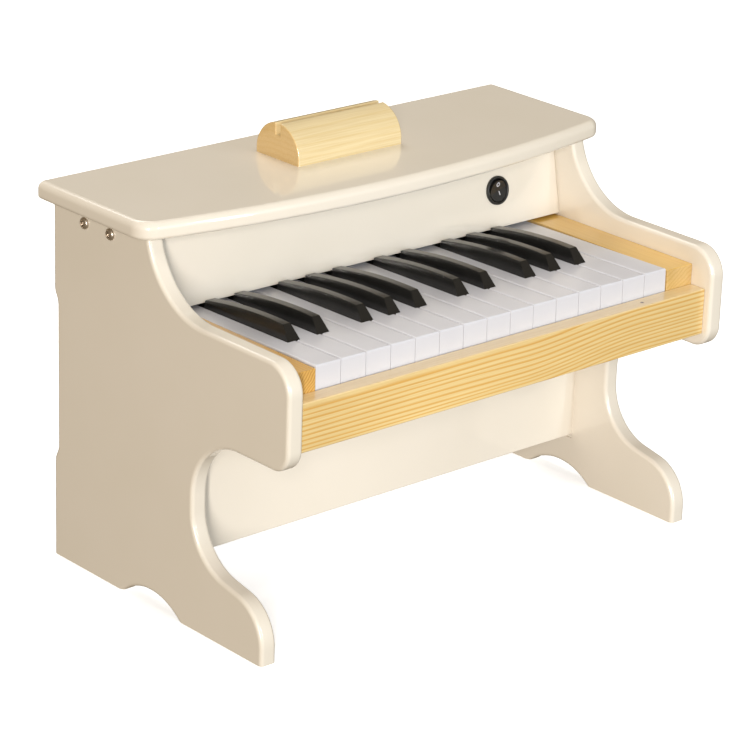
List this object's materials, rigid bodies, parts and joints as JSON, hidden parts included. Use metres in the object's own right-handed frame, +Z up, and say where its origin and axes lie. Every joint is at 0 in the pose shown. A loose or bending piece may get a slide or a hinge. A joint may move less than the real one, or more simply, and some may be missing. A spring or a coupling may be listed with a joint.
{
  "type": "toy piano",
  "caption": "Wooden toy upright piano: hinged white and black keys, bowed lid with a slotted music holder, leaning fallboard with a rocker switch, and scrolled side panels.",
  "frame": {"origin": "on the floor, under the middle of the piano's bounding box", "axes": "+X to the player's right, +Y to the back, +Z up"},
  "size_m": [0.4314, 0.2612, 0.3082],
  "materials": {
    "cream_paint": "gloss cream paint on fibreboard",
    "bare_board": "bare fibreboard",
    "pine": "clear lacquered pine",
    "beech": "bare beech",
    "nickel": "nickel plate",
    "zinc_steel": "zinc plate",
    "black_moulding": "matt moulded",
    "switch_plastic": "satin moulded",
    "felt": "felt",
    "circuit_board": "solder mask",
    "silicone": "matt silicone",
    "speaker_steel": "black coated steel",
    "speaker_paper": "black paper",
    "ferrite": "sintered",
    "cell_jacket": "satin film",
    "spring_metal": "nickel plate",
    "terminal_brass": "bright",
    "lead_pvc": "smooth",
    "white_abs": "gloss",
    "black_abs": "satin gloss"
  },
  "bodies": {
    "case": {"left_side_panel": "cream_paint", "right_side_panel": "cream_paint", "lid_panel": "cream_paint", "fallboard": "cream_paint", "knee_panel": "cream_paint", "back_panel": "cream_paint", "key_bed": "bare_board", "music_holder": "pine", "front_rail": "pine", "left_cheek_block": "pine", "right_cheek_block": "pine", "lid_cleats": "pine", "panel_dowels": "beech", "side_screws": "nickel", "small_screws": "zinc_steel", "key_pivot_rod": "zinc_steel", "keyboard_chassis": "black_moulding", "battery_tray": "black_moulding", "battery_door": "black_moulding", "board_spacers": "black_moulding", "switch_housing": "switch_plastic", "key_stop_felt": "felt", "key_rest_felt": "felt", "key_circuit_board": "circuit_board", "main_circuit_board": "circuit_board", "contact_rubber_strip": "silicone", "speaker_frame": "speaker_steel", "speaker_cone": "speaker_paper", "speaker_magnet": "ferrite", "battery_cells": "cell_jacket", "battery_contacts": "spring_metal", "switch_terminals": "terminal_brass", "lead_wires": "lead_pvc"},
    "white_key_01": {"white_key_01": "white_abs"},
    "black_key_01": {"black_key_01": "black_abs"},
    "white_key_02": {"white_key_02": "white_abs"},
    "black_key_02": {"black_key_02": "black_abs"},
    "white_key_03": {"white_key_03": "white_abs"},
    "white_key_04": {"white_key_04": "white_abs"},
    "black_key_03": {"black_key_03": "black_abs"},
    "white_key_05": {"white_key_05": "white_abs"},
    "black_key_04": {"black_key_04": "black_abs"},
    "white_key_06": {"white_key_06": "white_abs"},
    "black_key_05": {"black_key_05": "black_abs"},
    "white_key_07": {"white_key_07": "white_abs"},
    "white_key_08": {"white_key_08": "white_abs"},
    "black_key_06": {"black_key_06": "black_abs"},
    "white_key_09": {"white_key_09": "white_abs"},
    "black_key_07": {"black_key_07": "black_abs"},
    "white_key_10": {"white_key_10": "white_abs"},
    "white_key_11": {"white_key_11": "white_abs"},
    "black_key_08": {"black_key_08": "black_abs"},
    "white_key_12": {"white_key_12": "white_abs"},
    "black_key_09": {"black_key_09": "black_abs"},
    "white_key_13": {"white_key_13": "white_abs"},
    "black_key_10": {"black_key_10": "black_abs"},
    "white_key_14": {"white_key_14": "white_abs"},
    "white_key_15": {"white_key_15": "white_abs"},
    "rocker": {"switch_rocker": "switch_plastic"}
  },
  "joints": [
    {"name": "white_key_01_hinge", "type": "hinge", "parent": "case", "child": "white_key_01", "pos_m": [-0.15767, 0.076, 0.19731], "axis": [1, 0, 0], "range_deg": [0, 1.8], "stiffness_Nm_per_rad": 1.5, "springref_deg": -4.01, "deforming": ["contact_rubber_strip"]},
    {"name": "black_key_01_hinge", "type": "hinge", "parent": "case", "child": "black_key_01", "pos_m": [-0.14483, 0.076, 0.19731], "axis": [1, 0, 0], "range_deg": [0, 1.8], "stiffness_Nm_per_rad": 1.5, "springref_deg": -4.01, "deforming": ["contact_rubber_strip"]},
    {"name": "white_key_02_hinge", "type": "hinge", "parent": "case", "child": "white_key_02", "pos_m": [-0.132, 0.076, 0.19731], "axis": [1, 0, 0], "range_deg": [0, 1.8], "stiffness_Nm_per_rad": 1.5, "springref_deg": -4.01, "deforming": ["contact_rubber_strip"]},
    {"name": "black_key_02_hinge", "type": "hinge", "parent": "case", "child": "black_key_02", "pos_m": [-0.11917, 0.076, 0.19731], "axis": [1, 0, 0], "range_deg": [0, 1.8], "stiffness_Nm_per_rad": 1.5, "springref_deg": -4.01, "deforming": ["contact_rubber_strip"]},
    {"name": "white_key_03_hinge", "type": "hinge", "parent": "case", "child": "white_key_03", "pos_m": [-0.10633, 0.076, 0.19731], "axis": [1, 0, 0], "range_deg": [0, 1.8], "stiffness_Nm_per_rad": 1.5, "springref_deg": -4.01, "deforming": ["contact_rubber_strip"]},
    {"name": "white_key_04_hinge", "type": "hinge", "parent": "case", "child": "white_key_04", "pos_m": [-0.09212, 0.076, 0.19731], "axis": [1, 0, 0], "range_deg": [0, 1.8], "stiffness_Nm_per_rad": 1.5, "springref_deg": -4.01, "deforming": ["contact_rubber_strip"]},
    {"name": "black_key_03_hinge", "type": "hinge", "parent": "case", "child": "black_key_03", "pos_m": [-0.07975, 0.076, 0.19731], "axis": [1, 0, 0], "range_deg": [0, 1.8], "stiffness_Nm_per_rad": 1.5, "springref_deg": -4.01, "deforming": ["contact_rubber_strip"]},
    {"name": "white_key_05_hinge", "type": "hinge", "parent": "case", "child": "white_key_05", "pos_m": [-0.06738, 0.076, 0.19731], "axis": [1, 0, 0], "range_deg": [0, 1.8], "stiffness_Nm_per_rad": 1.5, "springref_deg": -4.01, "deforming": ["contact_rubber_strip"]},
    {"name": "black_key_04_hinge", "type": "hinge", "parent": "case", "child": "black_key_04", "pos_m": [-0.055, 0.076, 0.19731], "axis": [1, 0, 0], "range_deg": [0, 1.8], "stiffness_Nm_per_rad": 1.5, "springref_deg": -4.01, "deforming": ["contact_rubber_strip"]},
    {"name": "white_key_06_hinge", "type": "hinge", "parent": "case", "child": "white_key_06", "pos_m": [-0.04263, 0.076, 0.19731], "axis": [1, 0, 0], "range_deg": [0, 1.8], "stiffness_Nm_per_rad": 1.5, "springref_deg": -4.01, "deforming": ["contact_rubber_strip"]},
    {"name": "black_key_05_hinge", "type": "hinge", "parent": "case", "child": "black_key_05", "pos_m": [-0.03025, 0.076, 0.19731], "axis": [1, 0, 0], "range_deg": [0, 1.8], "stiffness_Nm_per_rad": 1.5, "springref_deg": -4.01, "deforming": ["contact_rubber_strip"]},
    {"name": "white_key_07_hinge", "type": "hinge", "parent": "case", "child": "white_key_07", "pos_m": [-0.01787, 0.076, 0.19731], "axis": [1, 0, 0], "range_deg": [0, 1.8], "stiffness_Nm_per_rad": 1.5, "springref_deg": -4.01, "deforming": ["contact_rubber_strip"]},
    {"name": "white_key_08_hinge", "type": "hinge", "parent": "case", "child": "white_key_08", "pos_m": [-0.00367, 0.076, 0.19731], "axis": [1, 0, 0], "range_deg": [0, 1.8], "stiffness_Nm_per_rad": 1.5, "springref_deg": -4.01, "deforming": ["contact_rubber_strip"]},
    {"name": "black_key_06_hinge", "type": "hinge", "parent": "case", "child": "black_key_06", "pos_m": [0.00917, 0.076, 0.19731], "axis": [1, 0, 0], "range_deg": [0, 1.8], "stiffness_Nm_per_rad": 1.5, "springref_deg": -4.01, "deforming": ["contact_rubber_strip"]},
    {"name": "white_key_09_hinge", "type": "hinge", "parent": "case", "child": "white_key_09", "pos_m": [0.022, 0.076, 0.19731], "axis": [1, 0, 0], "range_deg": [0, 1.8], "stiffness_Nm_per_rad": 1.5, "springref_deg": -4.01, "deforming": ["contact_rubber_strip"]},
    {"name": "black_key_07_hinge", "type": "hinge", "parent": "case", "child": "black_key_07", "pos_m": [0.03483, 0.076, 0.19731], "axis": [1, 0, 0], "range_deg": [0, 1.8], "stiffness_Nm_per_rad": 1.5, "springref_deg": -4.01, "deforming": ["contact_rubber_strip"]},
    {"name": "white_key_10_hinge", "type": "hinge", "parent": "case", "child": "white_key_10", "pos_m": [0.04767, 0.076, 0.19731], "axis": [1, 0, 0], "range_deg": [0, 1.8], "stiffness_Nm_per_rad": 1.5, "springref_deg": -4.01, "deforming": ["contact_rubber_strip"]},
    {"name": "white_key_11_hinge", "type": "hinge", "parent": "case", "child": "white_key_11", "pos_m": [0.06187, 0.076, 0.19731], "axis": [1, 0, 0], "range_deg": [0, 1.8], "stiffness_Nm_per_rad": 1.5, "springref_deg": -4.01, "deforming": ["contact_rubber_strip"]},
    {"name": "black_key_08_hinge", "type": "hinge", "parent": "case", "child": "black_key_08", "pos_m": [0.07425, 0.076, 0.19731], "axis": [1, 0, 0], "range_deg": [0, 1.8], "stiffness_Nm_per_rad": 1.5, "springref_deg": -4.01, "deforming": ["contact_rubber_strip"]},
    {"name": "white_key_12_hinge", "type": "hinge", "parent": "case", "child": "white_key_12", "pos_m": [0.08662, 0.076, 0.19731], "axis": [1, 0, 0], "range_deg": [0, 1.8], "stiffness_Nm_per_rad": 1.5, "springref_deg": -4.01, "deforming": ["contact_rubber_strip"]},
    {"name": "black_key_09_hinge", "type": "hinge", "parent": "case", "child": "black_key_09", "pos_m": [0.099, 0.076, 0.19731], "axis": [1, 0, 0], "range_deg": [0, 1.8], "stiffness_Nm_per_rad": 1.5, "springref_deg": -4.01, "deforming": ["contact_rubber_strip"]},
    {"name": "white_key_13_hinge", "type": "hinge", "parent": "case", "child": "white_key_13", "pos_m": [0.11138, 0.076, 0.19731], "axis": [1, 0, 0], "range_deg": [0, 1.8], "stiffness_Nm_per_rad": 1.5, "springref_deg": -4.01, "deforming": ["contact_rubber_strip"]},
    {"name": "black_key_10_hinge", "type": "hinge", "parent": "case", "child": "black_key_10", "pos_m": [0.12375, 0.076, 0.19731], "axis": [1, 0, 0], "range_deg": [0, 1.8], "stiffness_Nm_per_rad": 1.5, "springref_deg": -4.01, "deforming": ["contact_rubber_strip"]},
    {"name": "white_key_14_hinge", "type": "hinge", "parent": "case", "child": "white_key_14", "pos_m": [0.13612, 0.076, 0.19731], "axis": [1, 0, 0], "range_deg": [0, 1.8], "stiffness_Nm_per_rad": 1.5, "springref_deg": -4.01, "deforming": ["contact_rubber_strip"]},
    {"name": "white_key_15_hinge", "type": "hinge", "parent": "case", "child": "white_key_15", "pos_m": [0.154, 0.076, 0.19731], "axis": [1, 0, 0], "range_deg": [0, 1.8], "stiffness_Nm_per_rad": 1.5, "springref_deg": -4.01, "deforming": ["contact_rubber_strip"]},
    {"name": "rocker_hinge", "type": "hinge", "parent": "case", "child": "rocker", "pos_m": [0.1297, 0.03248, 0.2362], "axis": [0.9659, 0.0485, 0.2542], "range_deg": [-16, 0]}
  ]
}
